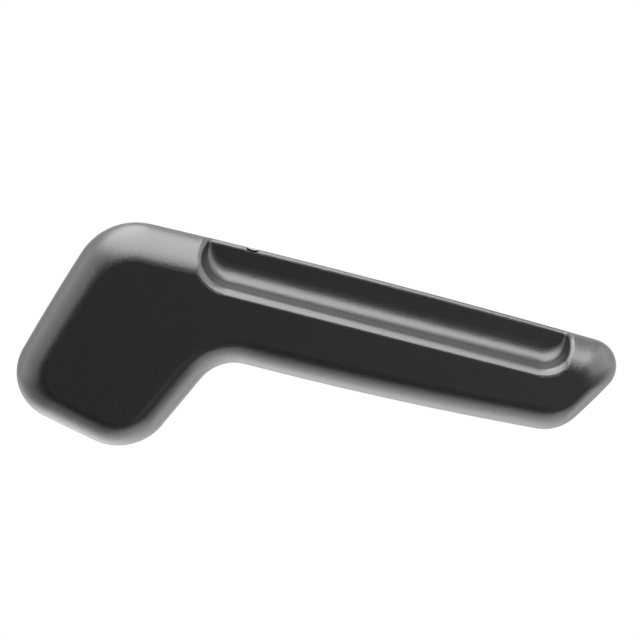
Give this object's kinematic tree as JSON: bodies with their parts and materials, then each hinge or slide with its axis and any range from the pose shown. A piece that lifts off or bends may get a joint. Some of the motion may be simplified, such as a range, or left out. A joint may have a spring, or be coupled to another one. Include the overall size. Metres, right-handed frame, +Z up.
{
  "type": "car seat release handle",
  "caption": "Moulded lever with a rounded hub and an arm with a finger recess along its top, pushed on a seat shaft and locked by a spring clip.",
  "frame": {"origin": "on the shaft axis, at the mouth of the socket in the end of the boss", "axes": "+X along the arm towards its tip, +Y out of the socket towards the seat, +Z up; the outer face looks towards -Y"},
  "size_m": [0.1703, 0.0256, 0.0665],
  "materials": {
    "black_plastic": "fine moulded grain, satin",
    "spring_steel": "plain stamped strip"
  },
  "bodies": {
    "root": {"handle_body": "black_plastic", "retaining_clip": "spring_steel"}
  },
  "joints": []
}
